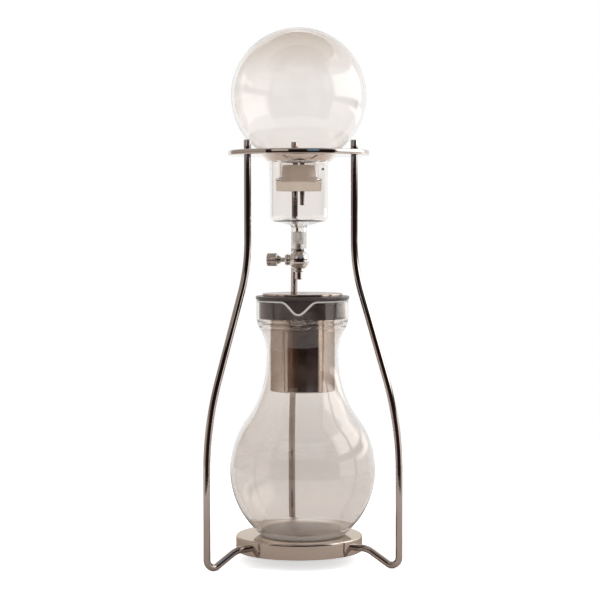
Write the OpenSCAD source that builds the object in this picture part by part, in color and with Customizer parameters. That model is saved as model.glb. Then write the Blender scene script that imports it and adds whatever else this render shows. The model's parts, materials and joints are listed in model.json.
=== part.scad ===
// Cold drip coffee tower.
// Water drips from the globe into a small chamber, through a needle valve and
// into a coffee filter that hangs in a carafe. A three-legged stand carries it.
// The origin is on the floor, on the tower's axis. +Z is up, -Y is the front,
// and all sizes are in millimetres.

/* [Stand] */
// Diameter of the bent rod of the legs
rod_d = 6.35; // [5.6:0.05:7]
// Height of the top ring's underside above the floor
ring_z = 365.6; // [362:0.2:365.8]
// Outer radius of the top ring
ring_r = 63.4; // [60:0.1:68]
// Thickness of the top ring
ring_t = 4.6; // [4:0.1:5]
// Distance of the legs from the axis under the ring
leg_top_r = 54.6; // [52:0.1:56]
// Distance of the legs from the axis above the feet
leg_foot_r = 97.8; // [93:0.1:104]
// Height of the upper bend of a leg
upper_bend_z = 266; // [250:1:280]
// Height of the lower bend of a leg
lower_bend_z = 128; // [115:1:140]
// Climb of a foot from the floor to the base, in degrees
foot_climb = 31; // [26:1:38]
// Radius of the round base
base_r = 57.2; // [54:0.1:60]
// Height of the base's top, on which the carafe stands
base_z = 24; // [22:0.2:25]
// Height of the base itself
base_h = 14; // [12.5:0.1:15]

/* [Water globe and chamber] */
// Radius of the globe
globe_r = 60.7; // [60:0.1:61]
// Height of the globe's centre
globe_z = 419.1; // [419:0.1:421]
// Outer radius of the globe's neck
globe_neck_r = 18; // [17:0.1:18.5]
// Outer radius of the water chamber
chamber_r = 26.2; // [26:0.1:26.4]
// Wall of the blown glass
glass_t = 1.8; // [1.5:0.1:2]

/* [Drip valve] */
// Height of the valve's ball and stem axis
valve_z = 272.2; // [272:0.1:272.6]
// Radius of the valve's ball
valve_ball_r = 9.4; // [8.5:0.1:9.6]
// Direction in which the knob points, in degrees from +X
valve_turn = 165; // [150:1:200]
// Radius of the knob
knob_r = 5.8; // [5:0.1:6.5]

/* [Carafe and filter] */
// How far the carafe and its filter stand to the right of the tower's axis
carafe_x = 3.2; // [0:0.1:3.6]
// Height of the carafe's rim
rim_z = 236.3; // [235:0.1:236.4]
// Outer radius of the carafe's neck
neck_r = 41.5; // [40.8:0.1:42]
// Outer radius of the carafe's waist
waist_r = 32.2; // [32:0.1:33]
// Largest outer radius of the carafe
bulb_r = 65.6; // [62:0.1:67]
// Height of the carafe's widest part
bulb_z = 82.6; // [80:0.2:85]
// Outer radius of the steel coffee chamber
filter_r = 29; // [28:0.1:29.2]
// Height of the coffee chamber's bottom
filter_z = 154; // [150:0.5:160]

/* [Hidden] */

round_fn = 120;         // steps of a large turned piece
small_fn = 48;          // steps of a small round piece
gap = 0.3;              // space between loose pieces
running = 0.05;         // radial clearance of a pin or screw in its hole
over = 1;               // how far a cut runs past a surface
seam = 0.02;            // a rod's bends are this much thinner than its straights,
seam_len = 0.1;         // which run this far into the bends, so that they join well

rod_r = rod_d / 2;
sheet_t = 1.2;          // sheet metal of the base and the collar

leg_angles = [90, 210, 330];    // rear, left, right
upper_bend_r = 150;
lower_bend_r = 268;
foot_bend_r = 7.2;
foot_flat = 0.15;       // how much of the round rod is ground away underfoot
foot_in_r = 18;         // bend where the foot levels out
foot_in_z = 15.8;       // height at which a foot enters the base
stud_r = 2;             // threaded ends of a leg
stud_hole_r = 2.2;
stud_top = 5.6;         // stud above the ring
stud_in = 8;            // stud inside the base's wall

ring_top = ring_z + ring_t;
ring_edge = 2.2;        // rounding of the ring's rim
ring_bore_r = 33.8;
ring_seat = 3;          // bevel of the bore's upper edge
collar_top = ring_z + 1.6;
collar_z = ring_z - 5;
collar_low_r = 29.2;
collar_lip_r = 28.2;

cap_r = 3.35;
cap_h = 8.6;

plate_z = base_z - base_h + 1.6;
screw_r = 1.5;
screw_ring_r = 40;
screw_angles = [30, 150, 270];
screw_head_r = 2.8;
screw_head_h = 1.4;
post_r = 3.4;
nut_af = 7;             // across the flats
nut_h = 3.2;

neck_inner_r = globe_neck_r - glass_t;
neck_bottom = 342.5;
neck_fillet = 4;
lip_r = 20.9;
lip_h = 2.7;

stopper_r = 20.7;
stopper_low_r = 20;
stopper_z = 333.7;
stopper_h = neck_bottom - gap - stopper_z;
plug_r = neck_inner_r - gap;
plug_top_r = 14.4;
plug_top = 357;
tube_r = 2.2;
tube_bore_r = 1.5;
tube_x = 3.1;
tube_top = 359.5;
water_tube_z = 321;
air_tube_z = 328.2;

flare_z = 357.7;        // where the chamber's wall begins to flare
flare_r = 6;
flare_turn = 50;
flare_len = 2.5;
chamber_corner_r = 5.5;
chamber_floor_z = 307.5; // where the outer cone would meet the outer wall
cone_rise = 15.2;       // slope of the conical bottom, in degrees
socket_r = 6.75;
socket_z = 282.3;
socket_bore_r = 5.2;
vent_r = 1.25;
vent_z = 353.1;
vent_angle = 322;

sleeve_z = 286.5;
sleeve_top = 296.8;
valve_neck_r = 3.5;
valve_neck_top = 297.6;
valve_shoulder_r = 5.4;
valve_shoulder_z = 279.3;
flow_r = 1.5;
boss_r = 5;
boss_x = 9.7;
packing_r = 5.5;
packing_x = 12.2;
stem_r = 2.1;
gland_r = 3.65;
gland_x = 7.4;
o_ring_r = 0.74;
needle_x = 3;
hub_x = 16.5;
knob_x = 19.9;
knob_end = 29;
stem_end = 23.5;
knob_screw_r = 1.2;
tip_flange_z = 261.2;
tip_flange_r = 5.2;
tip_flange_h = 1.5;
tip_r = 3.2;
tip_z = 254.3;
tip_spigot_r = 2.4;
tip_spigot_h = 4;
tip_bore_r = 1.2;
flutes = 24;

lid_r = 35.9;
lid_z = 239.7;
lid_t = 2.3;
lid_hole_r = 5;
lid_skirt_h = 3;
filter_wall = 0.8;
filter_flange_r = 34.5;
filter_ledge_r = 24.5;
screen_hole_r = 1.2;
screen_pitch = 5.6;
screen_rings = 4;
seal_r = 42.2;
seal_t = 3.1;
seal_z = lid_z - seal_t;
seal_sleeve_z = 219.3;

carafe_wall = 1.8;
seal_play = 0.8;        // space between the seal's sleeve and the glass
seal_sleeve_r = neck_r - carafe_wall - seal_play;
push_up = 1.6;          // the carafe's bottom is pushed up in the middle
push_up_r = 22;         // and level again outside this radius
carafe_foot_r = 5;      // rounding between the carafe's side and its bottom
bulb_arc_r = 75.3;      // the bulb's side is an arc of this radius
bulb_arc_x = bulb_r - bulb_arc_r;
waist_z = 183.6;
waist_h = 4;
shoulder_hollow_r = 43.9;
shoulder_round_r = 22.7;
// The lower waist is a hollow arc that touches the bulb's arc
waist_dx = waist_r - bulb_arc_x;
waist_dz = waist_z - bulb_z;
waist_arc_r = (waist_dx * waist_dx + waist_dz * waist_dz - bulb_arc_r * bulb_arc_r)
              / (2 * (bulb_arc_r - waist_dx));
waist_turn = atan2(waist_dz, waist_dx + waist_arc_r);
// The upper waist is a hollow arc and a round one, which ends upright in the neck
shoulder_sum = shoulder_hollow_r + shoulder_round_r;
shoulder_turn = acos(1 - (neck_r - waist_r) / shoulder_sum);
shoulder_z = waist_z + waist_h + shoulder_sum * sin(shoulder_turn);
// The foot's rounding touches the bulb's arc from inside
foot_arc_z = base_z + carafe_foot_r;
foot_arc_dz = foot_arc_z - bulb_z;
foot_arc_dx = sqrt(pow(bulb_arc_r - carafe_foot_r, 2) - foot_arc_dz * foot_arc_dz);
foot_arc_x = bulb_arc_x + foot_arc_dx;
foot_arc_turn = atan2(foot_arc_dz, foot_arc_dx);

spout_turn = -9;        // the spout points a little left of the front
spout_w = 16;           // half the spout's width at the rim
spout_drop = 11.6;
spout_round = 4;
spout_reach_r = 20.5;
spout_reach_y = 28;

// ---------------------------------------------------------------- helpers

// Points along an arc
function arc(centre, radius, from, to, steps = 10) =
    [for (i = [0:steps])
        let (a = from + (to - from) * i / steps)
        centre + radius * [cos(a), sin(a)]];

function unit(v) = v / norm(v);
function heading(path, i) = unit(path[i + 1] - path[i]);
function angle_of(v) = atan2(v[1], v[0]);
// Signed turn of a path at its point i, in degrees
function turn_at(path, i) =
    let (a = heading(path, i - 1), b = heading(path, i))
    atan2(a[0] * b[1] - a[1] * b[0], a * b);
// Length that a bend takes from the straights on both its sides
function trim(path, bends, i) = bends[i] * tan(abs(turn_at(path, i)) / 2);

// A piece turned from an outline given as [radius, height] points
module turned(outline) {
    rotate_extrude($fn = round_fn) polygon(outline);
}

// A round rod along a path in the XZ plane, with a round bend at each corner
module bent_rod(path, bends, radius) {
    last = len(path) - 1;
    for (i = [0:last - 1]) {
        dir = heading(path, i);
        start_trim = i == 0 ? 0 : trim(path, bends, i) - seam_len;
        end_trim = i == last - 1 ? 0 : trim(path, bends, i + 1) - seam_len;
        start = path[i] + dir * start_trim;
        length = norm(path[i + 1] - path[i]) - start_trim - end_trim;
        translate([start[0], 0, start[1]])
            rotate([0, 90 - angle_of(dir), 0])
                cylinder(r = radius, h = length, $fn = small_fn);
    }
    for (i = [1:last - 1]) {
        turn = turn_at(path, i);
        dir = heading(path, i - 1);
        side = sign(turn) * [-dir[1], dir[0]];
        start = path[i] - dir * trim(path, bends, i);
        centre = start + side * bends[i];
        from = angle_of(-side) + min(turn, 0);
        translate([centre[0], 0, centre[1]])
            rotate([90, 0, 0])
                rotate([0, 0, from])
                    rotate_extrude(angle = abs(turn), $fn = round_fn)
                        translate([bends[i], 0]) circle(radius - seam, $fn = small_fn);
    }
}

// Copies a piece to every leg
module at_legs() {
    for (a = leg_angles) rotate([0, 0, a]) children();
}

// Moves a piece from the +X axis to the valve's stem axis
module along_stem() {
    translate([0, 0, valve_z]) rotate([0, 0, valve_turn]) rotate([0, 90, 0]) children();
}

// ---------------------------------------------------------------- stand

module top_ring() {
    color("#b9aca2")
        difference() {
            turned(concat(
                [[ring_bore_r, ring_z]],
                arc([ring_r - ring_edge, ring_z + ring_edge], ring_edge, -90, 0, 6),
                arc([ring_r - ring_edge, ring_top - ring_edge], ring_edge, 0, 90, 6),
                [[ring_bore_r + ring_seat, ring_top], [ring_bore_r, ring_top - ring_seat]]));
            at_legs() translate([leg_top_r, 0, ring_z - over])
                cylinder(r = stud_hole_r, h = ring_t + 2 * over, $fn = small_fn);
        }
}

module seat_collar() {
    outer_r = ring_bore_r - running;
    color("#ab9e94")
        turned([[outer_r, collar_top], [outer_r, ring_z], [collar_low_r, collar_z],
                [collar_lip_r, collar_z], [collar_lip_r, collar_z + sheet_t],
                [collar_low_r - 0.6, collar_z + sheet_t], [outer_r - sheet_t, ring_z + 0.4],
                [outer_r - sheet_t, collar_top]]);
}

module cap_nuts() {
    color("#8f8279")
        at_legs() translate([leg_top_r, 0, ring_top])
            difference() {
                union() {
                    cylinder(r = cap_r, h = cap_h - 0.8, $fn = small_fn);
                    translate([0, 0, cap_h - 0.8])
                        cylinder(r1 = cap_r, r2 = cap_r - 0.8, h = 0.8, $fn = small_fn);
                }
                translate([0, 0, -over])
                    cylinder(r = stud_r + running, h = stud_top + 0.6 + over, $fn = small_fn);
            }
}

module leg(angle) {
    low_z = rod_r - foot_flat;
    foot_corner_z = low_z + foot_bend_r - foot_bend_r * tan((90 + foot_climb) / 2);
    foot_in_x = leg_foot_r - (foot_in_z - foot_corner_z) / tan(foot_climb);
    path = [[leg_top_r, ring_z], [leg_top_r, upper_bend_z], [leg_foot_r, lower_bend_z],
            [leg_foot_r, foot_corner_z], [foot_in_x, foot_in_z], [base_r, foot_in_z]];
    bends = [0, upper_bend_r, lower_bend_r, foot_bend_r, foot_in_r, 0];
    color("#a79a8f")
        rotate([0, 0, angle])
            difference() {
                union() {
                    bent_rod(path, bends, rod_r);
                    translate([leg_top_r, 0, ring_z - over])
                        cylinder(r = stud_r, h = ring_t + stud_top + over, $fn = small_fn);
                    translate([base_r - stud_in, 0, foot_in_z])
                        rotate([0, 90, 0])
                            cylinder(r = stud_r, h = stud_in + over, $fn = small_fn);
                }
                translate([0, -rod_d, -rod_d])
                    cube([2 * leg_foot_r, 2 * rod_d, rod_d]);
            }
}

module base_cover() {
    edge = 1.6;
    low = base_z - base_h;
    inner_r = base_r - sheet_t;
    color("#a99d92")
        difference() {
            union() {
                turned(concat(
                    [[0, base_z], [0, base_z - sheet_t], [inner_r, base_z - sheet_t],
                     [inner_r, low]],
                    arc([base_r - 0.5, low + 0.5], 0.5, -90, 0, 3),
                    arc([base_r - edge, base_z - edge], edge, 0, 90, 6)));
                for (a = screw_angles) rotate([0, 0, a])
                    translate([screw_ring_r, 0, plate_z + sheet_t])
                        cylinder(r = post_r, h = base_z - sheet_t / 2 - plate_z - sheet_t,
                                 $fn = small_fn);
            }
            at_legs() translate([base_r - 2 * sheet_t, 0, foot_in_z])
                rotate([0, 90, 0]) cylinder(r = stud_hole_r, h = 3 * sheet_t, $fn = small_fn);
            for (a = screw_angles) rotate([0, 0, a])
                translate([screw_ring_r, 0, plate_z])
                    cylinder(r = screw_r + running, h = base_h - 4, $fn = small_fn);
        }
}

module base_plate() {
    plate_r = base_r - sheet_t - 0.2;
    notch = 10;
    color("#8f857c")
        difference() {
            translate([0, 0, plate_z]) cylinder(r = plate_r, h = sheet_t, $fn = round_fn);
            at_legs() translate([base_r - stud_in - 0.6, -notch / 2, plate_z - over])
                cube([stud_in, notch, sheet_t + 2 * over]);
            for (a = screw_angles) rotate([0, 0, a])
                translate([screw_ring_r, 0, plate_z - over])
                    cylinder(r = screw_r + 0.2, h = sheet_t + 2 * over, $fn = small_fn);
        }
}

module base_screws() {
    shank = 7;
    color("#6f6a66")
        for (a = screw_angles) rotate([0, 0, a])
            translate([screw_ring_r, 0, plate_z - screw_head_h])
                difference() {
                    union() {
                        cylinder(r = screw_head_r, h = screw_head_h, $fn = small_fn);
                        cylinder(r = screw_r, h = screw_head_h + shank, $fn = small_fn);
                    }
                    translate([-0.4, -screw_head_r - over, -over])
                        cube([0.8, 2 * (screw_head_r + over), over + 0.7]);
                }
}

module leg_nuts() {
    nut_x = sqrt(pow(base_r - sheet_t, 2) - nut_af * nut_af / 3) - nut_h - 0.05;
    color("#7d756e")
        at_legs() translate([nut_x, 0, foot_in_z])
            rotate([0, 90, 0]) difference() {
                cylinder(r = nut_af / sqrt(3), h = nut_h, $fn = 6);
                translate([0, 0, -over])
                    cylinder(r = stud_r + running, h = nut_h + 2 * over, $fn = small_fn);
            }
}

// ---------------------------------------------------------------- water globe

// Half section of the globe, drawn smaller by inset
module globe_section(inset, bottom) {
    r = globe_r - inset;
    neck = globe_neck_r - inset;
    fillet = neck_fillet + inset;
    dx = neck + fillet;
    fillet_z = globe_z - sqrt(pow(r + fillet, 2) - dx * dx);
    touch = [dx * r / (r + fillet), globe_z + (fillet_z - globe_z) * r / (r + fillet)];
    intersection() {
        translate([0, globe_z - r]) square([2 * r, 2 * r]);
        translate([0, globe_z]) circle(r, $fn = 2 * round_fn);
    }
    translate([0, bottom]) square([neck, globe_z - r - bottom + 8]);
    difference() {
        polygon([[neck - 1, fillet_z], [neck + fillet, fillet_z], touch,
                 [neck - 1, touch[1] + 0.4]]);
        translate([dx, fillet_z]) circle(fillet, $fn = small_fn);
    }
}

module globe() {
    color("#e6dfd9", 0.4)
        rotate_extrude($fn = round_fn)
            difference() {
                union() {
                    globe_section(0, neck_bottom);
                    translate([0, neck_bottom + 0.5]) square([lip_r, lip_h - 1]);
                    translate([0, neck_bottom]) square([lip_r - 0.5, lip_h]);
                }
                globe_section(glass_t, neck_bottom - over);
            }
}

module stopper() {
    color("#baaa96")
        difference() {
            turned([[0, stopper_z], [stopper_low_r - 0.6, stopper_z],
                    [stopper_low_r, stopper_z + 0.6],
                    [stopper_r, stopper_z + stopper_h - 0.6],
                    [stopper_r - 0.6, stopper_z + stopper_h],
                    [plug_r, stopper_z + stopper_h],
                    [plug_top_r, plug_top - 1.5], [plug_top_r - 1.5, plug_top], [0, plug_top]]);
            for (x = [-tube_x, tube_x]) translate([x, 0, stopper_z - over])
                cylinder(r = tube_r, h = plug_top - stopper_z + 2 * over, $fn = small_fn);
        }
}

module stopper_tube(x, bottom) {
    translate([x, 0, bottom])
        difference() {
            cylinder(r = tube_r, h = tube_top - bottom, $fn = small_fn);
            translate([0, 0, -over])
                cylinder(r = tube_bore_r, h = tube_top - bottom + 2 * over, $fn = small_fn);
        }
}

module water_tube() {
    color("#5b4f4b") stopper_tube(tube_x, water_tube_z);
}

module air_tube() {
    color("#5b4f4b") stopper_tube(-tube_x, air_tube_z);
}

// ---------------------------------------------------------------- water chamber

// One side of the chamber's wall, from the socket up to the lip; inset 0 is the
// outside and inset glass_t the inside
function chamber_side(inset) =
    let (r = chamber_r - inset,
         socket = inset == 0 ? socket_r : socket_bore_r,
         corner = chamber_corner_r - inset,
         cone_z = chamber_floor_z + inset * (1 / cos(cone_rise) - tan(cone_rise)),
         cx = r - corner,
         cz = cone_z + corner * tan((90 - cone_rise) / 2),
         neck_z = cone_z - (r - socket) * tan(cone_rise),
         flare = flare_r + inset,
         top = arc([r + flare, flare_z], flare, 180, 180 - flare_turn, 8),
         out = flare_len * [sin(flare_turn), cos(flare_turn)])
    concat([[socket, socket_z], [socket, neck_z - 1.5], [socket + 1.5, neck_z + 0.8]],
           arc([cx, cz], corner, cone_rise - 90, 0, 8),
           top,
           [top[len(top) - 1] + out]);

function reversed(list) = [for (i = [len(list) - 1:-1:0]) list[i]];

module water_chamber() {
    color("#e3dcd5", 0.4)
        difference() {
            turned(concat(chamber_side(0), reversed(chamber_side(glass_t))));
            rotate([0, 0, vent_angle]) translate([chamber_r - 2 * glass_t, 0, vent_z])
                rotate([0, 90, 0]) cylinder(r = vent_r, h = 3 * glass_t, $fn = small_fn);
        }
}

module joint_sleeve() {
    inner_r = valve_neck_r + running;
    outer_r = socket_bore_r - running;
    color("#cfc9c4", 0.8)
        turned([[inner_r, sleeve_z], [outer_r, sleeve_z], [outer_r, sleeve_top - 0.8],
                [outer_r - 0.5, sleeve_top], [inner_r, sleeve_top]]);
}

// ---------------------------------------------------------------- drip valve

module valve_body() {
    color("#b5a89e")
        difference() {
            union() {
                translate([0, 0, valve_z]) sphere(valve_ball_r, $fn = 64);
                translate([0, 0, valve_z])
                    cylinder(r = valve_neck_r, h = valve_neck_top - valve_z, $fn = small_fn);
                translate([0, 0, valve_shoulder_z])
                    cylinder(r = valve_shoulder_r, h = socket_z - gap - valve_shoulder_z,
                             $fn = small_fn);
                along_stem() cylinder(r = boss_r, h = boss_x, $fn = small_fn);
                translate([0, 0, tip_flange_z + tip_flange_h])
                    cylinder(r = tip_flange_r - 0.8, h = 3, $fn = small_fn);
            }
            translate([0, 0, tip_z])
                cylinder(r = flow_r, h = valve_neck_top - tip_z + over, $fn = small_fn);
            translate([0, 0, tip_flange_z])
                cylinder(r = tip_spigot_r + running, h = tip_flange_h + tip_spigot_h + 0.2,
                         $fn = small_fn);
            along_stem() cylinder(r = flow_r, h = needle_x, $fn = small_fn);
            along_stem() translate([0, 0, needle_x - 1])
                cylinder(r = stem_r + running, h = packing_x, $fn = small_fn);
            along_stem() translate([0, 0, gland_x])
                cylinder(r = gland_r, h = packing_x, $fn = small_fn);
        }
}

module packing_nut() {
    spigot = 0.8;
    color("#a4978d")
        along_stem() difference() {
            union() {
                translate([0, 0, boss_x - spigot])
                    cylinder(r = gland_r - running, h = packing_x - boss_x + spigot,
                             $fn = small_fn);
                translate([0, 0, boss_x])
                    cylinder(r1 = packing_r, r2 = packing_r - 0.7, h = packing_x - boss_x,
                             $fn = small_fn);
            }
            translate([0, 0, boss_x - over])
                cylinder(r = stem_r + running, h = packing_x, $fn = small_fn);
        }
}

module stem_o_ring() {
    color("#2b2a2a")
        along_stem() translate([0, 0, gland_x + o_ring_r])
            rotate_extrude($fn = small_fn)
                translate([stem_r + running + o_ring_r, 0]) circle(o_ring_r, $fn = 24);
}

module valve_stem() {
    color("#c3b8ae")
        along_stem() difference() {
            union() {
                translate([0, 0, needle_x])
                    cylinder(r = stem_r, h = stem_end - needle_x, $fn = small_fn);
                translate([0, 0, -1])
                    cylinder(r1 = 0.5, r2 = flow_r - running, h = needle_x + 1, $fn = small_fn);
            }
            translate([0, 0, stem_end - 5])
                cylinder(r = knob_screw_r + running, h = 5 + over, $fn = small_fn);
        }
}

module valve_knob() {
    color("#b0a499")
        along_stem() difference() {
            union() {
                translate([0, 0, hub_x])
                    cylinder(r1 = 3, r2 = 4.6, h = knob_x - hub_x, $fn = small_fn);
                translate([0, 0, knob_x])
                    cylinder(r1 = knob_r - 0.8, r2 = knob_r, h = 0.8, $fn = small_fn);
                translate([0, 0, knob_x + 0.8])
                    cylinder(r = knob_r, h = knob_end - knob_x - 1.6, $fn = small_fn);
                translate([0, 0, knob_end - 0.8])
                    cylinder(r1 = knob_r, r2 = knob_r - 0.8, h = 0.8, $fn = small_fn);
            }
            translate([0, 0, hub_x - over])
                cylinder(r = stem_r + running, h = stem_end + 0.4 - hub_x + over, $fn = small_fn);
            translate([0, 0, stem_end])
                cylinder(r = knob_screw_r + running, h = knob_end, $fn = small_fn);
            translate([0, 0, knob_end - 2.4])
                cylinder(r = 2.6, h = 3, $fn = small_fn);
            for (i = [0:flutes - 1]) rotate([0, 0, i * 360 / flutes])
                translate([knob_r + 0.2, 0, knob_x - over])
                    cylinder(r = 0.45, h = knob_end - knob_x + 2 * over, $fn = 16);
        }
}

module knob_screw() {
    head = 1.6;
    color("#7a726b")
        along_stem() difference() {
            union() {
                translate([0, 0, knob_end - 2.4])
                    cylinder(r = 2.3, h = head, $fn = small_fn);
                translate([0, 0, stem_end - 4.5])
                    cylinder(r = knob_screw_r, h = knob_end - 2.4 - stem_end + 4.6,
                             $fn = small_fn);
            }
            translate([-3, -0.35, knob_end - 2.4 + head - 0.7]) cube([6, 0.7, over + 0.7]);
        }
}

module drip_tip() {
    chamfer = 1;
    color("#a89b90")
        difference() {
            union() {
                translate([0, 0, tip_z])
                    cylinder(r1 = tip_r - chamfer, r2 = tip_r, h = chamfer, $fn = small_fn);
                translate([0, 0, tip_z + chamfer])
                    cylinder(r = tip_r, h = tip_flange_z - tip_z - chamfer, $fn = small_fn);
                translate([0, 0, tip_flange_z])
                    cylinder(r = tip_flange_r, h = tip_flange_h, $fn = small_fn);
                translate([0, 0, tip_flange_z])
                    cylinder(r = tip_spigot_r, h = tip_flange_h + tip_spigot_h, $fn = small_fn);
            }
            translate([0, 0, tip_z - over])
                cylinder(r = tip_bore_r, h = 16, $fn = small_fn);
        }
}

// ---------------------------------------------------------------- filter

module filter_lid() {
    skirt_r = filter_r - filter_wall - gap;
    edge = 0.8;
    translate([carafe_x, 0, 0]) color("#9c9188")
        turned(concat(
            [[lid_hole_r, lid_z + lid_t], [lid_hole_r, lid_z], [skirt_r - 1, lid_z],
             [skirt_r - 1, lid_z - lid_skirt_h], [skirt_r, lid_z - lid_skirt_h],
             [skirt_r, lid_z], [lid_r - 0.3, lid_z], [lid_r, lid_z + 0.3]],
            arc([lid_r - edge, lid_z + lid_t - edge], edge, 0, 90, 4)));
}

module coffee_chamber() {
    inner_r = filter_r - filter_wall;
    top = lid_z;
    translate([carafe_x, 0, 0]) color("#a39589")
        turned([[filter_ledge_r, filter_z], [filter_r - 0.5, filter_z], [filter_r, filter_z + 0.5],
                [filter_r, top - filter_wall], [filter_flange_r, top - filter_wall],
                [filter_flange_r, top], [inner_r, top], [inner_r, filter_z + filter_wall],
                [filter_ledge_r, filter_z + filter_wall]]);
}

module filter_screen() {
    row_step = screen_pitch * sin(60);
    color("#8d837a")
        translate([carafe_x, 0, filter_z + filter_wall])
            difference() {
                cylinder(r = filter_r - filter_wall - running, h = 0.6, $fn = round_fn);
                for (row = [-screen_rings:screen_rings])
                    for (i = [0:2 * screen_rings - abs(row)])
                        translate([(i - screen_rings + abs(row) / 2) * screen_pitch,
                                   row * row_step, -over])
                            cylinder(r = screen_hole_r, h = 3, $fn = 24);
            }
}

module neck_seal() {
    inner_r = filter_r + running;
    recess = filter_wall;
    translate([carafe_x, 0, 0]) color("#5f5854")
        turned(concat(
            [[inner_r, lid_z - recess], [inner_r, seal_sleeve_z],
             [seal_sleeve_r - 1, seal_sleeve_z], [seal_sleeve_r, seal_sleeve_z + 1],
             [seal_sleeve_r, seal_z]],
            arc([seal_r - 1.2, seal_z + 1.2], 1.2, -90, 0, 4),
            arc([seal_r - 1.2, lid_z - 1.2], 1.2, 0, 90, 4),
            [[filter_flange_r + 0.1, lid_z], [filter_flange_r + 0.1, lid_z - recess]]));
}

// ---------------------------------------------------------------- carafe

// One side of the carafe's wall from its bottom to its rim, drawn smaller by inset
function carafe_side(inset) =
    concat([[0, base_z + push_up + inset], [push_up_r / 2, base_z + push_up * 0.8 + inset],
            [push_up_r, base_z + push_up * 0.2 + inset], [push_up_r + 5, base_z + inset]],
           arc([foot_arc_x, foot_arc_z], carafe_foot_r - inset, -90, foot_arc_turn, 5),
           arc([bulb_arc_x, bulb_z], bulb_arc_r - inset, foot_arc_turn, waist_turn, 24),
           arc([waist_r + waist_arc_r, waist_z], waist_arc_r + inset,
               180 + waist_turn, 180, 10),
           arc([waist_r + shoulder_hollow_r, waist_z + waist_h], shoulder_hollow_r + inset,
               180, 180 - shoulder_turn, 6),
           arc([neck_r - shoulder_round_r, shoulder_z], shoulder_round_r - inset,
               -shoulder_turn, 0, 6),
           [[neck_r - inset, rim_z]]);

// Front view of the spout's opening: a rounded V under the rim, grown by extra
module spout_v(extra) {
    low = rim_z - spout_drop;
    slope = atan((spout_drop - spout_round * 0.6) / spout_w);
    polygon(concat(
        arc([0, low + spout_round], spout_round + extra, 270 - slope, 270 + slope, 6),
        [[spout_w + extra * 1.3, rim_z], [spout_w + extra * 1.3, rim_z + 5],
         [-spout_w - extra * 1.3, rim_z + 5], [-spout_w - extra * 1.3, rim_z]]));
}

module spout_bar(extra) {
    translate([0, -neck_r / 2, 0]) rotate([90, 0, 0]) linear_extrude(neck_r) spout_v(extra);
}

module carafe() {
    translate([carafe_x, 0, 0]) color("#ded6cf", 0.4)
        difference() {
            union() {
                turned(concat(carafe_side(0), reversed(carafe_side(carafe_wall))));
                rotate([0, 0, spout_turn]) difference() {
                    intersection() {
                        spout_bar(carafe_wall);
                        translate([0, -spout_reach_y, rim_z - 20])
                            cylinder(r = spout_reach_r, h = 20, $fn = small_fn);
                    }
                    translate([0, 0, rim_z - 21])
                        cylinder(r = neck_r - carafe_wall, h = 22, $fn = round_fn);
                }
            }
            rotate([0, 0, spout_turn]) spout_bar(0);
        }
}

// ---------------------------------------------------------------- assembly

top_ring();
seat_collar();
cap_nuts();
leg(leg_angles[1]);  // leg_left
leg(leg_angles[2]);  // leg_right
leg(leg_angles[0]);  // leg_rear
base_cover();
base_plate();
base_screws();
leg_nuts();
globe();
stopper();
water_tube();
air_tube();
water_chamber();
joint_sleeve();
valve_body();
packing_nut();
stem_o_ring();
valve_stem();
valve_knob();
knob_screw();
drip_tip();
filter_lid();
coffee_chamber();
filter_screen();
neck_seal();
carafe();
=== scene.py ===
# %% [markdown]
# # A cold drip coffee tower
# Water waits in a glass globe, drips through a needle valve onto ground coffee in a
# steel filter, and collects in a waisted carafe. Three bent rods carry it all.
# This lesson dresses the finished construction model: polished steel, blown glass
# and rubber. The construction model comes first, because every piece below has to
# sit exactly where it is.

# %% Load the construction model
import bpy
import bmesh
import json
import math
from mathutils import Matrix, Vector


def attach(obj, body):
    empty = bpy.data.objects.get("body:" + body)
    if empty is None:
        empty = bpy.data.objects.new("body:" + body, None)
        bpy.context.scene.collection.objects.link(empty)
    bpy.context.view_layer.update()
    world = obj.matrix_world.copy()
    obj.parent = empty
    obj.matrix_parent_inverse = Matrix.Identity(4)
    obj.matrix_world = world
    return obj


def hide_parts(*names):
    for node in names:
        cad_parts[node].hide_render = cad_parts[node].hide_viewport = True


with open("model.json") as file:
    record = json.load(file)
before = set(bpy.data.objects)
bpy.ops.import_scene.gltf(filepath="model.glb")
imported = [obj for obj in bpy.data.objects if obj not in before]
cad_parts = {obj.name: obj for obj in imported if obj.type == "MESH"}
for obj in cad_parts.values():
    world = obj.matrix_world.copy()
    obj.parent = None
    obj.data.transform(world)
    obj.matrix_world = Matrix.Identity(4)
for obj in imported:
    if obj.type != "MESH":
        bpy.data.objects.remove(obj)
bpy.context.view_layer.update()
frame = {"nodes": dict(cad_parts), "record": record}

nodes = frame["nodes"]

# %% [markdown]
# ## The measures
# A maker's drawing is in millimetres, and Blender counts in metres, so every length
# below is written in millimetres and scaled once, when a mesh is made. The few sizes
# that several pieces share have names of their own.

# %% Shared sizes, in millimetres
MM = 0.001
ROD_R = 3.175
RING_Z, RING_TOP = 365.6, 370.2
LEG_TOP_R, LEG_FOOT_R = 54.6, 97.8
BASE_R, BASE_Z, BASE_LOW = 57.2, 24.0, 10.0
SHEET_T = 1.2
GLOBE_R, GLOBE_Z, GLOBE_NECK_R = 60.7, 419.1, 18.0
CHAMBER_R = 26.2
GLASS_T = 1.8               # wall of all the blown glass
VALVE_Z, STEM_TURN = 272.2, 165
CARAFE_X = 3.2
LEG_ANGLES = {"leg_rear": 90, "leg_left": 210, "leg_right": 330}
STEPS = 144                 # of a turned piece, round its axis
print("rod", 2 * ROD_R, "mm, legs at", sorted(LEG_ANGLES.values()))

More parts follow.
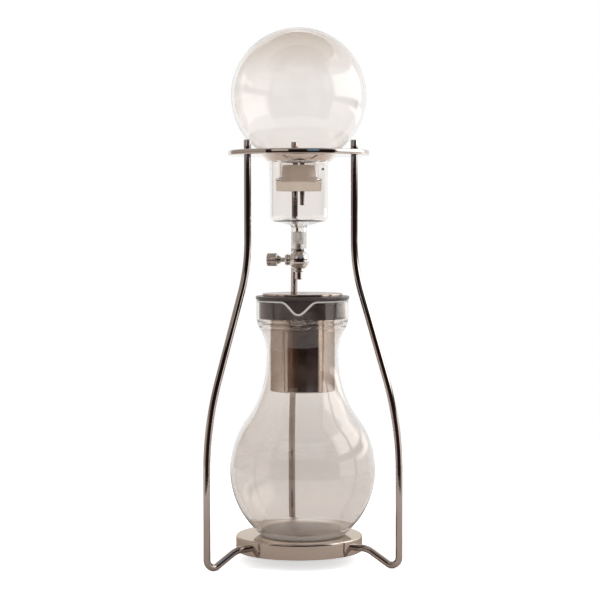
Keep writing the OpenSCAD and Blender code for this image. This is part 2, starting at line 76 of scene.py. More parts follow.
# %% [markdown]
# ## Turned pieces
# Nearly everything here is round: it was spun, blown or cut on a lathe. Blender's
# Screw modifier could turn an outline, but it leaves a seam and open poles. A small
# function that builds the rings itself closes both, so that the same helper serves
# glass walls, rubber plugs and steel plates. Real edges are never knife sharp, so
# the outline's corners are rounded first: that thin band catches the light.

# %% Round the corners of an outline
def rounded(points, steps=4):
    """Points are (r, z) or (r, z, radius); a corner with a radius becomes an arc."""
    out = []
    count = len(points)
    for i, point in enumerate(points):
        here = Vector(point[:2])
        radius = point[2] if len(point) > 2 else 0
        if radius <= 0:
            out.append(here)
            continue
        before = Vector(points[i - 1][:2]) - here
        after = Vector(points[(i + 1) % count][:2]) - here
        half = before.angle(after) / 2
        reach = min(radius / math.tan(half), before.length * 0.49, after.length * 0.49)
        start = here + before.normalized() * reach
        end = here + after.normalized() * reach
        for k in range(steps + 1):
            t = k / steps
            out.append((1 - t) ** 2 * start + 2 * t * (1 - t) * here + t ** 2 * end)
    return out


def arc(cx, cz, radius, start, end, steps):
    """Points on an arc, with its angles in degrees."""
    out = []
    for k in range(steps + 1):
        a = math.radians(start + (end - start) * k / steps)
        out.append(Vector((cx + radius * math.cos(a), cz + radius * math.sin(a))))
    return out

# %% Turn an outline into a closed mesh
def shade_smooth(bm, sharp):
    """Smooth faces, but with hard edges wherever the angle is above sharp."""
    for edge in bm.edges:
        edge.smooth = not (edge.is_manifold and edge.calc_face_angle(0) > math.radians(sharp))
    for face in bm.faces:
        face.smooth = True


def new_object(name, data):
    piece = bpy.data.objects.new(name, data)
    bpy.context.scene.collection.objects.link(piece)
    return piece


def object_from(name, bm):
    mesh = bpy.data.meshes.new(name)
    bm.to_mesh(mesh)
    bm.free()
    return new_object(name, mesh)


def finished(name, bm, place=Matrix.Identity(4), sharp=35):
    """Gives a mesh its place, points its faces outwards and shades it smooth."""
    bmesh.ops.remove_doubles(bm, verts=bm.verts, dist=0.002)
    bmesh.ops.recalc_face_normals(bm, faces=bm.faces)
    bmesh.ops.transform(bm, matrix=Matrix.Scale(MM, 4) @ place, verts=bm.verts)
    shade_smooth(bm, sharp)
    return object_from(name, bm)


def turned_mesh(outline, steps=STEPS):
    """The rings of a turned piece; the outline is a closed loop of (r, z)."""
    bm = bmesh.new()
    rings = []
    for point in outline:
        r, z = point[0], point[1]
        if r < 1e-4:
            rings.append([bm.verts.new((0, 0, z))] * steps)
            continue
        rings.append([bm.verts.new((r * math.cos(2 * math.pi * k / steps),
                                    r * math.sin(2 * math.pi * k / steps), z))
                      for k in range(steps)])
    for i, ring in enumerate(rings):
        above = rings[(i + 1) % len(rings)]
        for k in range(steps):
            loop = [ring[k], ring[(k + 1) % steps], above[(k + 1) % steps], above[k]]
            corners = []
            for vert in loop:
                if vert not in corners:
                    corners.append(vert)
            if len(corners) > 2:
                bm.faces.new(corners)
    return bm


def turned(name, outline, steps=STEPS, place=Matrix.Identity(4), sharp=35):
    return finished(name, turned_mesh(outline, steps), place, sharp)


def join(name, pieces):
    """Several meshes become one piece."""
    bm = bmesh.new()
    for piece in pieces:
        bm.from_mesh(piece.data)
        bpy.data.objects.remove(piece)
    return object_from(name, bm)


def count(piece):
    """Prints what a finished piece came to."""
    low = [round(min(v.co[i] for v in piece.data.vertices) / MM, 1) for i in range(3)]
    high = [round(max(v.co[i] for v in piece.data.vertices) / MM, 1) for i in range(3)]
    print(f"{piece.name}: {len(piece.data.polygons)} faces, {low} to {high} mm")

# %% [markdown]
# ## Geometry Nodes for what repeats
# Three cap nuts, twenty-four ridges on the knob: each is one shape copied round an
# axis. A node tree does that with a ring of points and Instance on Points, and its
# sizes are named inputs, so that one tree serves every ring. The copies are made
# real at the end, because an instance has no mesh of its own to hand on.

# %% A small kit for node trees
def wire(tree, *links):
    """Each link is (node, output, node, input), or (socket, node, input)."""
    for *source, target, name in links:
        start = source[0].outputs[source[1]] if len(source) > 1 else source[0]
        tree.links.new(start, target.inputs[name])


def fill(node, inputs):
    """Sets a node's inputs, by name or number."""
    for name, value in inputs.items():
        node.inputs[name].default_value = value


def add(tree, kind, inputs=None, **settings):
    """A new node, with its settings and the values of some of its inputs."""
    node = tree.nodes.new(kind)
    for name, value in settings.items():
        setattr(node, name, value)
    fill(node, inputs or {})
    return node


def new_tree(name, inputs):
    """An empty geometry tree with a Geometry input and the named ones."""
    tree = bpy.data.node_groups.new(name, "GeometryNodeTree")
    tree.interface.new_socket("Geometry", in_out="INPUT", socket_type="NodeSocketGeometry")
    for label, kind in inputs.items():
        tree.interface.new_socket(label, in_out="INPUT", socket_type=kind)
    tree.interface.new_socket("Geometry", in_out="OUTPUT", socket_type="NodeSocketGeometry")
    return tree, tree.nodes.new("NodeGroupInput"), tree.nodes.new("NodeGroupOutput")


def end_tree(tree, given, result, shape):
    """Every tree ends alike: copies are made real and take the finish."""
    real = add(tree, "GeometryNodeRealizeInstances")
    finish = add(tree, "GeometryNodeSetMaterial")
    wire(tree,
         (shape, real, "Geometry"),
         (real, "Geometry", finish, "Geometry"),
         (given, "Finish", finish, "Material"),
         (finish, "Geometry", result, "Geometry"))
    return tree


def run_tree(piece, tree, values):
    """Runs a tree on a piece and keeps the result as the piece's plain mesh."""
    modifier = piece.modifiers.new(tree.name, "NODES")
    modifier.node_group = tree
    for item in tree.interface.items_tree:
        if item.in_out == "INPUT" and item.name in values:
            modifier[item.identifier] = values[item.name]
    shapes = bpy.context.evaluated_depsgraph_get()
    mesh = bpy.data.meshes.new_from_object(piece.evaluated_get(shapes))
    piece.modifiers.remove(modifier)
    piece.data = mesh
    mesh.name = piece.name
    return piece

# %% The tree that copies a piece round an axis
def ring_of_copies_tree():
    tree, given, result = new_tree("ring_of_copies", {
        "Count": "NodeSocketInt", "Radius": "NodeSocketFloat",
        "First Angle": "NodeSocketFloat", "Finish": "NodeSocketMaterial"})
    circle = add(tree, "GeometryNodeMeshCircle")
    points = add(tree, "GeometryNodeMeshToPoints")
    index = add(tree, "GeometryNodeInputIndex")
    share = add(tree, "ShaderNodeMath", operation="DIVIDE")
    turn = add(tree, "ShaderNodeMath", {1: 2 * math.pi}, operation="MULTIPLY")
    angles = add(tree, "ShaderNodeCombineXYZ")
    copies = add(tree, "GeometryNodeInstanceOnPoints")
    spin = add(tree, "GeometryNodeTransform")
    spin_angles = add(tree, "ShaderNodeCombineXYZ")
    wire(tree,
         (given, "Count", circle, "Vertices"),
         (given, "Radius", circle, "Radius"),
         (circle, "Mesh", points, "Mesh"),
         (points, "Points", copies, "Points"),
         (given, "Geometry", copies, "Instance"),
         (index, "Index", share, 0),
         (given, "Count", share, 1),
         (share, 0, turn, 0),
         (turn, 0, angles, "Z"),
         (angles, 0, copies, "Rotation"),
         (copies, "Instances", spin, "Geometry"),
         (given, "First Angle", spin_angles, "Z"),
         (spin_angles, 0, spin, "Rotation"))
    return end_tree(tree, given, result, spin.outputs["Geometry"])


ring_of_copies = ring_of_copies_tree()
print("tree:", ring_of_copies.name, len(ring_of_copies.nodes), "nodes")

# %% [markdown]
# A leg is a straight rod that was bent four times, each bend round a former of its
# own radius. Fillet Curve does just that: the path is a bare line of corners, and
# the radius of each bend is an attribute on its corner. Curve to Mesh then gives
# the line its thickness.

# %% The tree that bends a rod
def swept_tree(name, sides, bends=0):
    """A round section of so many sides, swept along a line; a line with bends is open."""
    tree, given, result = new_tree(name, {
        "Radius": "NodeSocketFloat", "Finish": "NodeSocketMaterial"})
    line = add(tree, "GeometryNodeMeshToCurve")
    section = add(tree, "GeometryNodeCurvePrimitiveCircle", {"Resolution": sides})
    tube = add(tree, "GeometryNodeCurveToMesh", {"Fill Caps": bends > 0})
    course = line
    if bends:
        bend = add(tree, "GeometryNodeInputNamedAttribute", {"Name": "bend_radius"},
                   data_type="FLOAT")
        course = add(tree, "GeometryNodeFilletCurve", {"Count": bends}, mode="POLY")
        wire(tree, (line, "Curve", course, "Curve"),
             (bend, "Attribute", course, "Radius"))
    wire(tree,
         (given, "Geometry", line, "Mesh"),
         (given, "Radius", section, "Radius"),
         (course, "Curve", tube, "Curve"),
         (section, "Curve", tube, "Profile Curve"))
    return end_tree(tree, given, result, tube.outputs["Mesh"])


bent_rod = swept_tree("bent_rod", sides=40, bends=28)
print("tree:", bent_rod.name, len(bent_rod.nodes), "nodes")

# %% [markdown]
# ## Finishes
# Polished steel, blown glass and rubber look plain from afar, but none is one flat
# colour. Fingers and cloths leave faint smears that dull the gloss in patches, the
# polishing wheel leaves hairlines, and blown glass is never quite even. These three
# effects are shader node groups. They hand out only masks, colours and heights, and
# each material feeds them into its own Principled BSDF.

# %% A small kit for shader groups
def new_group(name, inputs, outputs):
    group = bpy.data.node_groups.new(name, "ShaderNodeTree")
    for label, (kind, value) in inputs.items():
        socket = group.interface.new_socket(label, in_out="INPUT", socket_type=kind)
        socket.default_value = value
    for label, kind in outputs.items():
        group.interface.new_socket(label, in_out="OUTPUT", socket_type=kind)
    return group, group.nodes.new("NodeGroupInput"), group.nodes.new("NodeGroupOutput")


FLOAT, COLOR, VECTOR = "NodeSocketFloat", "NodeSocketColor", "NodeSocketVector"


def smear_group():
    """Patches where a hand or a cloth has dulled the gloss."""
    group, given, result = new_group(
        "handling_smears",
        {"Vector": (VECTOR, (0, 0, 0)), "Scale": (FLOAT, 40.0),
         "Clean": (FLOAT, 0.08), "Smeared": (FLOAT, 0.2)},
        {"Roughness": FLOAT})
    noise = add(group, "ShaderNodeTexNoise",
                {"Detail": 3.0, "Roughness": 0.6, "Distortion": 0.6})
    mask = add(group, "ShaderNodeMapRange", {"From Min": 0.42, "From Max": 0.72})
    gloss = add(group, "ShaderNodeMapRange")
    wire(group,
         (given, "Vector", noise, "Vector"),
         (given, "Scale", noise, "Scale"),
         (noise, "Fac", mask, "Value"),
         (mask, "Result", gloss, "Value"),
         (given, "Clean", gloss, "To Min"),
         (given, "Smeared", gloss, "To Max"),
         (gloss, "Result", result, "Roughness"))
    return group


def hairline_group():
    """Fine polishing lines, drawn out along one direction by a stretched noise."""
    group, given, result = new_group(
        "polishing_hairlines",
        {"Vector": (VECTOR, (0, 0, 0)), "Stretch": (VECTOR, (900.0, 900.0, 60.0))},
        {"Height": FLOAT})
    stretch = add(group, "ShaderNodeVectorMath", operation="MULTIPLY")
    noise = add(group, "ShaderNodeTexNoise", {"Scale": 1.0, "Detail": 2.0})
    wire(group,
         (given, "Vector", stretch, 0),
         (given, "Stretch", stretch, 1),
         (stretch, "Vector", noise, "Vector"),
         (noise, "Fac", result, "Height"))
    return group


def tone_group():
    """A slow drift between two near tones."""
    group, given, result = new_group(
        "tone_drift",
        {"Vector": (VECTOR, (0, 0, 0)), "Scale": (FLOAT, 12.0),
         "First": (COLOR, (0.5, 0.5, 0.5, 1)), "Second": (COLOR, (0.6, 0.6, 0.6, 1))},
        {"Color": COLOR})
    noise = add(group, "ShaderNodeTexNoise", {"Detail": 4.0})
    mask = add(group, "ShaderNodeMapRange", {"From Min": 0.35, "From Max": 0.65})
    mix = add(group, "ShaderNodeMix", data_type="RGBA")
    wire(group,
         (given, "Vector", noise, "Vector"),
         (given, "Scale", noise, "Scale"),
         (noise, "Fac", mask, "Value"),
         (mask, "Result", mix, "Factor"),
         (given, "First", mix, 6),
         (given, "Second", mix, 7),
         (mix, 2, result, "Color"))
    return group


smears, hairlines, tones = smear_group(), hairline_group(), tone_group()
print("shader groups:", smears.name, hairlines.name, tones.name)

# %% [markdown]
# ### One material, many metals
# The same recipe makes every metal here: a tone that drifts a little, smears in the
# gloss, hairlines in the normal. Only the numbers differ, so a function takes them.

# %% Metals
def new_material(name):
    material = bpy.data.materials.new(name)
    material.use_nodes = True
    tree = material.node_tree
    shader = tree.nodes["Principled BSDF"]
    place = tree.nodes.new("ShaderNodeTexCoord").outputs["Object"]
    return material, tree, shader, place


def place_group(tree, group, vector, **values):
    node = add(tree, "ShaderNodeGroup", node_tree=group)
    wire(tree, (vector, node, "Vector"))
    fill(node, values)
    return node


def surface(name, first, second, clean, smeared, tone_scale, smear_scale):
    """A material with a drifting tone, smears in its gloss and a bump to feed."""
    material, tree, shader, place = new_material(name)
    tone = place_group(tree, tones, place, Scale=tone_scale,
                       First=(*first, 1), Second=(*second, 1))
    smear = place_group(tree, smears, place, Scale=smear_scale, Clean=clean,
                        Smeared=smeared)
    bump = add(tree, "ShaderNodeBump")
    wire(tree,
         (tone, "Color", shader, "Base Color"),
         (smear, "Roughness", shader, "Roughness"),
         (bump, "Normal", shader, "Normal"))
    return material, tree, shader, place, bump


def metal(name, first, second, clean, smeared, lines=(900, 900, 60), line_depth=0.04,
          edge=(1, 1, 1)):
    """Polished metal; lines stretches the hairlines along x, y and z."""
    material, tree, shader, place, bump = surface(name, first, second, clean, smeared,
                                                  tone_scale=14.0, smear_scale=45.0)
    fill(shader, {"Metallic": 1.0, "Specular Tint": (*edge, 1)})
    fill(bump, {"Strength": line_depth, "Distance": 0.0002})
    line = place_group(tree, hairlines, place, Stretch=lines)
    wire(tree, (line, "Height", bump, "Height"))
    return material


polished_steel = metal("polished_steel", (0.58, 0.525, 0.485), (0.64, 0.585, 0.54), 0.05, 0.12)
base_steel = metal("base_steel", (0.55, 0.49, 0.44), (0.60, 0.54, 0.49), 0.07, 0.15,
                   lines=(60, 60, 900), edge=(0.85, 0.78, 0.72))
filter_steel = metal("filter_steel", (0.58, 0.51, 0.455), (0.64, 0.57, 0.51), 0.11, 0.2,
                     lines=(120, 120, 1200), edge=(0.5, 0.44, 0.41))
# painted light: the collar's steel is a lighter copy of the polished steel, for the brighter
# reflection it shows
collar_steel = metal("collar_steel", (0.79, 0.72, 0.66), (0.85, 0.78, 0.72), 0.05, 0.12)
# painted shade: the rods' steel is a darker copy of the polished steel, for the darker
# reflections they show
rod_steel = metal("rod_steel", (0.50, 0.45, 0.425), (0.55, 0.50, 0.47), 0.05, 0.12)
valve_metal = metal("valve_metal", (0.68, 0.65, 0.625), (0.74, 0.71, 0.685), 0.04, 0.1)
tube_steel = metal("tube_steel", (0.50, 0.45, 0.42), (0.56, 0.51, 0.475), 0.1, 0.2)
plain_steel = metal("plain_steel", (0.44, 0.42, 0.40), (0.52, 0.50, 0.47), 0.3, 0.45,
                    line_depth=0.1)
print("metals:", len(bpy.data.materials))

# %% [markdown]
# ### Blown glass
# A tube that is blown in a flame has a wall that is thicker here and thinner there,
# so the straight lines behind it wobble. A low bump does that. A long band of glass
# is a clear solid with a trace of colour, and light that crosses it must not be
# stopped dead, so for shadow rays only the shader turns to plain transparency.

# %% Glasses
def height_band(tree, place, low, high, at_low, at_high):
    """A value that changes between two heights, in millimetres."""
    height = add(tree, "ShaderNodeSeparateXYZ")
    band = add(tree, "ShaderNodeMapRange", {"From Min": low * MM, "From Max": high * MM,
                                            "To Min": at_low, "To Max": at_high})
    wire(tree, (place, height, 0), (height, "Z", band, "Value"))
    return band.outputs["Result"]


def pulling_streaks(tree, place, centre):
    """A normal that is uneven around one spot, where the hot glass was pulled."""
    uneven = add(tree, "ShaderNodeTexNoise", {"Scale": 260.0, "Distortion": 0.8})
    near = add(tree, "ShaderNodeVectorMath", {1: Vector(centre) * MM}, operation="DISTANCE")
    spread = add(tree, "ShaderNodeMapRange", {"From Min": 10 * MM, "From Max": 22 * MM,
                                              "To Min": 1.0, "To Max": 0.0})
    streaks = add(tree, "ShaderNodeBump", {"Distance": 1.5 * MM})
    wire(tree,
         (place, uneven, "Vector"), (place, near, 0),
         (near, "Value", spread, "Value"),
         (spread, "Result", streaks, "Strength"),
         (uneven, "Fac", streaks, "Height"))
    return streaks.outputs["Normal"]


def glass(name, tint, ripple=0.06, ripple_scale=22.0, rough=0.0, ior=1.47,
          ground_below=None, painted_shade_band=None, pulled_at=None):
    """Clear glass. It can be ground below a height, be tinted darker between two heights
    as painted shade, and have streaks around a spot."""
    material, tree, shader, place = new_material(name)
    fill(shader, {"Transmission Weight": 1.0, "IOR": ior})
    deeper = tuple(c * 0.985 for c in tint)
    tone = place_group(tree, tones, place, Scale=9.0, First=(*tint, 1), Second=(*deeper, 1))
    color = tone.outputs["Color"]
    # painted shade: between the band's two heights the tint darkens towards the given colour
    if painted_shade_band is not None:
        low, high, top = painted_shade_band
        shade_mix = add(tree, "ShaderNodeMix", {7: (*top, 1)}, data_type="RGBA")
        wire(tree, (height_band(tree, place, low, high, 0.0, 1.0), shade_mix, "Factor"),
             (color, shade_mix, 6))
        color = shade_mix.outputs[2]
    smear = place_group(tree, smears, place, Scale=30.0, Clean=rough, Smeared=rough + 0.03)
    roughness = smear.outputs["Roughness"]
    if ground_below is not None:
        band = height_band(tree, place, ground_below, ground_below + 1.0, 0.45, 0.0)
        more = add(tree, "ShaderNodeMath", operation="MAXIMUM")
        wire(tree, (band, more, 0), (roughness, more, 1))
        roughness = more.outputs[0]
    wave = add(tree, "ShaderNodeTexNoise", {"Scale": ripple_scale, "Detail": 1.0})
    bump = add(tree, "ShaderNodeBump", {"Strength": ripple, "Distance": 4 * MM})
    if pulled_at is not None:
        wire(tree, (pulling_streaks(tree, place, pulled_at), bump, "Normal"))
    clear = add(tree, "ShaderNodeBsdfTransparent", {"Color": (*[c ** 0.5 for c in tint], 1)})
    path = add(tree, "ShaderNodeLightPath")
    pick = add(tree, "ShaderNodeMixShader")
    wire(tree,
         (color, shader, "Base Color"),
         (roughness, shader, "Roughness"),
         (place, wave, "Vector"),
         (wave, "Fac", bump, "Height"),
         (bump, "Normal", shader, "Normal"),
         (path, "Is Shadow Ray", pick, "Fac"),
         (shader, "BSDF", pick, 1),
         (clear, "BSDF", pick, 2),
         (pick, "Shader", tree.nodes["Material Output"], "Surface"))
    return material


# painted shade: the globe's glass is tinted darker towards its top, from 434 to 478 mm
globe_glass = glass("globe_glass", (0.965, 0.94, 0.92), ripple_scale=16.0,
                    painted_shade_band=(434, 478, (0.78, 0.72, 0.67)))
chamber_glass = glass("chamber_glass", (0.94, 0.915, 0.895), ior=1.36, ground_below=297)
# painted shade: the carafe's glass is tinted darker below 150 mm, fully so below 95 mm
carafe_glass = glass("carafe_glass", (0.865, 0.825, 0.795), ripple_scale=18.0,
                     painted_shade_band=(150, 95, (0.795, 0.755, 0.725)), pulled_at=(-3.4, -42, 219))
foot_glass = glass("foot_glass", (0.98, 0.955, 0.93), ripple=0.15, ripple_scale=60.0,
                   rough=0.31, ior=1.26)
print("glasses:", [m.name for m in (globe_glass, chamber_glass, carafe_glass, foot_glass)])

# %% [markdown]
# ### Rubber and the frosted sleeve
# The stopper is soft beige silicone rubber, the neck seal a dark grey one with a
# satin skin, and the sleeve that grips the valve is a milky plastic. All three have
# a fine grain in the surface, which only shows as a softer gloss.

# %% Rubbers and plastic
def rubber(name, first, second, clean, smeared, grain=0.15, clear=0.0):
    """Rubber or plastic with a fine grain; clear lets part of the light through."""
    material, tree, shader, place, bump = surface(name, first, second, clean, smeared,
                                                  tone_scale=60.0, smear_scale=80.0)
    fill(shader, {"Transmission Weight": clear})
    fill(bump, {"Strength": grain, "Distance": 0.0003})
    pores = add(tree, "ShaderNodeTexNoise", {"Scale": 900.0, "Detail": 2.0})
    wire(tree, (place, pores, "Vector"), (pores, "Fac", bump, "Height"))
    return material


stopper_rubber = rubber("stopper_rubber", (0.69, 0.595, 0.50), (0.755, 0.655, 0.56), 0.5, 0.62)
seal_rubber = rubber("seal_rubber", (0.042, 0.031, 0.029), (0.062, 0.049, 0.045), 0.28, 0.42)
black_rubber = rubber("black_rubber", (0.02, 0.02, 0.02), (0.035, 0.035, 0.035), 0.4, 0.5)
frosted_plastic = rubber("frosted_plastic", (0.80, 0.77, 0.75), (0.9, 0.88, 0.86), 0.35, 0.5,
                         clear=0.55)
# painted highlight: a pale, half-clear finish for the rim bead, so that it reads as a bright
# line
painted_rim_highlight = rubber("painted_rim_highlight", (0.68, 0.64, 0.61), (0.76, 0.72, 0.69), 0.06, 0.14, grain=0.02,
                   clear=0.3)
print("materials:", len(bpy.data.materials))

# %% [markdown]
# ## Dressing a node
# A piece that replaces a construction node rides on that node's body, gets its finish
# and hides the node, so one function does all three. Nodes whose own mesh is good
# enough, such as the small screws underneath, keep it and only get a finish.

# %% Helpers that dress
body_of = {n: b for b, members in frame["record"]["behaviour"]["bodies"].items()
           for n in members}


def dress(piece, material, *replaced):
    piece.data.materials.clear()
    piece.data.materials.append(material)
    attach(piece, body_of[replaced[0]])
    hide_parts(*replaced)
    count(piece)


def spin(node, look, material, outline, corner_steps=4, steps=STEPS,
         place=Matrix.Identity(4)):
    """A turned piece that takes the place of one construction node."""
    piece = turned(f"{node}_{look}", rounded(outline, corner_steps), steps, place)
    dress(piece, material, node)


def finish_node(name, material):
    """A construction node keeps its mesh and gets a finish in its own slots."""
    node = nodes[name]
    if not node.material_slots:
        node.data.materials.append(material)
    for slot in node.material_slots:
        slot.material = material
    print(name, "keeps its mesh, in", material.name)

# %% [markdown]
# ## The stand
# The top ring is a flat disc with a wide hole, its rim rounded on the lathe. A short
# flared collar is welded under the hole, and the glass chamber hangs in it. Both are
# plain outlines; what sells them is the softness of their edges.

# %% Ring and collar
spin("top_ring", "polished", polished_steel, [
    (33.8, RING_Z, 0.3), (63.4, RING_Z, 1.3), (63.4, RING_TOP, 1.3),
    (36.8, RING_TOP, 0.5), (33.8, RING_TOP - 3, 0.5)], 8)
spin("seat_collar", "polished", collar_steel, [
    (33.74, 367.2, 0.3), (33.74, 365.6, 1.0), (29.2, 360.6, 0.6), (28.2, 360.6, 0.2),
    (28.2, 361.8, 0.1), (28.6, 361.8, 0.2), (32.55, 366.0, 0.8), (32.55, 367.2, 0.3)], 5)

# %% Cap nuts
nut = turned("cap_nuts_polished", rounded([
    (0, RING_TOP), (3.35, RING_TOP, 0.15), (3.35, 378.8, 0.9), (0, 378.8)], 5), 48)
run_tree(nut, ring_of_copies, {"Count": 3, "Radius": LEG_TOP_R * MM,
                               "First Angle": math.radians(90), "Finish": polished_steel})
dress(nut, polished_steel, "cap_nuts")

# %% [markdown]
# ### Legs
# From under the ring each rod drops straight, sweeps out and drops again, then turns
# sharply at the foot and climbs back into the side of the base. The corners below
# are where the straight runs would meet.

# %% Legs
def leg(name, angle):
    foot_r, climb = 7.2, math.radians(31)
    low = ROD_R - 0.15 + foot_r
    corner_z = low - foot_r * math.tan(math.radians(45) + climb / 2)
    turn_in = LEG_FOOT_R - (15.8 - corner_z) / math.tan(climb)
    corners = [(LEG_TOP_R, RING_Z, 0), (LEG_TOP_R, 266, 150), (LEG_FOOT_R, 128, 268),
               (LEG_FOOT_R, corner_z, foot_r), (turn_in, 15.8, 18), (BASE_R - 0.4, 15.8, 0)]
    a = math.radians(angle)
    path = bpy.data.meshes.new(name)
    path.from_pydata([(r * math.cos(a) * MM, r * math.sin(a) * MM, z * MM)
                      for r, z, _ in corners], [(i, i + 1) for i in range(5)], [])
    radii = path.attributes.new("bend_radius", "FLOAT", "POINT")
    for i, corner in enumerate(corners):
        radii.data[i].value = corner[2] * MM
    piece = new_object(name, path)
    run_tree(piece, bent_rod, {"Radius": ROD_R * MM, "Finish": rod_steel})
    bm = bmesh.new()
    bm.from_mesh(piece.data)
    for vert in bm.verts:
        vert.co.z = max(vert.co.z, 0.0)
    bmesh.ops.recalc_face_normals(bm, faces=bm.faces)
    for face in bm.faces:
        face.smooth = len(face.verts) == 4
    bm.to_mesh(piece.data)
    bm.free()
    return piece


for name, angle in LEG_ANGLES.items():
    dress(leg(name + "_polished", angle), rod_steel, name)

# %% [markdown]
# ### Base
# A shallow cup of polished sheet, open side down, with a rolled upper edge. Its
# underside keeps the construction model's plate, screws and nuts.

# %% Base
spin("base_cover", "polished", base_steel, [
    (0, BASE_Z), (BASE_R, BASE_Z, 1.9), (BASE_R, BASE_LOW, 0.4),
    (BASE_R - SHEET_T, BASE_LOW, 0.3), (BASE_R - SHEET_T, BASE_Z - SHEET_T, 0.6),
    (0, BASE_Z - SHEET_T)], 7)
for name in ("base_plate", "base_screws", "leg_nuts"):
    finish_node(name, plain_steel)

# %% [markdown]
# ## The glass
# A blown wall has two faces, and the light bends at both, so each glass piece is a
# closed shell with a true inside. The globe's outline is an arc that runs through a
# small hollow fillet into the neck and ends in a thick, flame-rounded lip.

# %% Globe
def globe_wall(inset):
    r, neck, fillet = GLOBE_R - inset, GLOBE_NECK_R - inset, 4 + inset
    dx = neck + fillet
    fillet_z = GLOBE_Z - math.sqrt((r + fillet) ** 2 - dx ** 2)
    lean = math.degrees(math.atan2(fillet_z - GLOBE_Z, dx))
    side = arc(0, GLOBE_Z, r, 90, lean, 60)
    side[0] = Vector((0, GLOBE_Z + r))
    return side + arc(dx, fillet_z, fillet, lean + 180, 180, 8)


globe_lip = [(18, 345.2, 1.4), (20.9, 345.2, 0.9), (20.9, 342.5, 1.2), (16.2, 342.5, 0.7)]
globe = turned("globe_blown", rounded(globe_wall(0) + globe_lip
                                      + list(reversed(globe_wall(GLASS_T))), 5), 192,
               sharp=60)
dress(globe, globe_glass, "globe")

# %% [markdown]
# The chamber is a glass cup with a conical floor, a flared lip that rests in the
# collar, a small vent hole near the top and a socket below for the valve. The vent
# is cut with a Boolean, after the wall has been turned.

# %% Water chamber
def chamber_wall(inset):
    rise_turn, flare_r = 15.2, 6 + inset
    rise, r, corner = math.radians(rise_turn), CHAMBER_R - inset, 5.5 - inset
    socket = 5.2 if inset else 6.75
    cone_z = 307.5 + inset * (1 / math.cos(rise) - math.tan(rise))
    cz = cone_z + corner * math.tan(math.radians(90 - rise_turn) / 2)
    neck_z = cone_z - (r - socket) * math.tan(rise)
    flare = arc(r + flare_r, 357.7, flare_r, 180, 130, 8)
    tip = flare[-1] + 2.5 * Vector((math.sin(math.radians(50)), math.cos(math.radians(50))))
    lower = rounded([(socket, 290), (socket, neck_z, 2.4), (r - corner, cone_z + 0.3)], 7)[1:-1]
    straight = [Vector((r, z)) for z in (320, 335, 347, 350.5, 355.5)]
    return ([Vector((socket, 282.3)), Vector((socket, 286))] + lower
            + arc(r - corner, cz, corner, rise_turn - 90, 0, 10) + straight + flare + [tip])


outer, inner = chamber_wall(0), chamber_wall(GLASS_T)
lip = 0.5 * (outer[-1] + inner[-1]) + 0.3 * Vector((0.77, 0.64))
chamber = turned("water_chamber_blown", outer + [lip] + list(reversed(inner)), 160, sharp=60)
VENT_R, VENT_Z, VENT_TURN = 1.25, 353.1, 322
cutter = turned("cutter", [(0, 0), (VENT_R, 0), (VENT_R, 8), (0, 8)], 32,
                Matrix.Rotation(math.radians(VENT_TURN), 4, "Z")
                @ Matrix.Translation((22, 0, VENT_Z))
                @ Matrix.Rotation(math.radians(90), 4, "Y"))
cut = chamber.modifiers.new("vent", "BOOLEAN")
cut.object, cut.operation, cut.solver = cutter, "DIFFERENCE", "EXACT"
shapes = bpy.context.evaluated_depsgraph_get()
holed = bpy.data.meshes.new_from_object(chamber.evaluated_get(shapes))
chamber.modifiers.remove(cut)
bm = bmesh.new()
bm.from_mesh(holed)
shade_smooth(bm, 50)
bm.to_mesh(holed)
bm.free()
chamber.data = holed
bpy.data.objects.remove(cutter)
dress(chamber, chamber_glass, "water_chamber")

# %% [markdown]
# ## The carafe
# The carafe's side is four arcs that flow into each other: a round bulb, a hollow
# waist, a hollow shoulder and a round one that ends upright at the rim. The spout
# was pulled from the soft rim with a tool: the rim dips in a V and leans outward.
# It starts as a turned wall, and then the vertices near the front are moved.

# %% Carafe outline
WAIST_R, WAIST_Z, WAIST_H = 32.2, 183.6, 4.0
NECK_R, RIM_Z = 41.5, 236.3
BULB_R, BULB_Z, BULB_ARC = 65.6, 82.6, 75.3
SHOULDER_HOLLOW, SHOULDER_ROUND = 43.9, 22.7
FOOT_R, FOOT_TOP = 5.0, 29.5        # the foot's rounding, and where its scuffs end
PUSH_UP, PUSH_UP_R = 1.6, 22.0      # the bottom is pushed up in the middle
CONTACT, FOOT_GLASS = 0.03, 1.2     # gap over the base, extra glass inside the foot
FOLDS = ((216.6, 0.5), (211.8, 0.35))       # heights and depths of folds inside


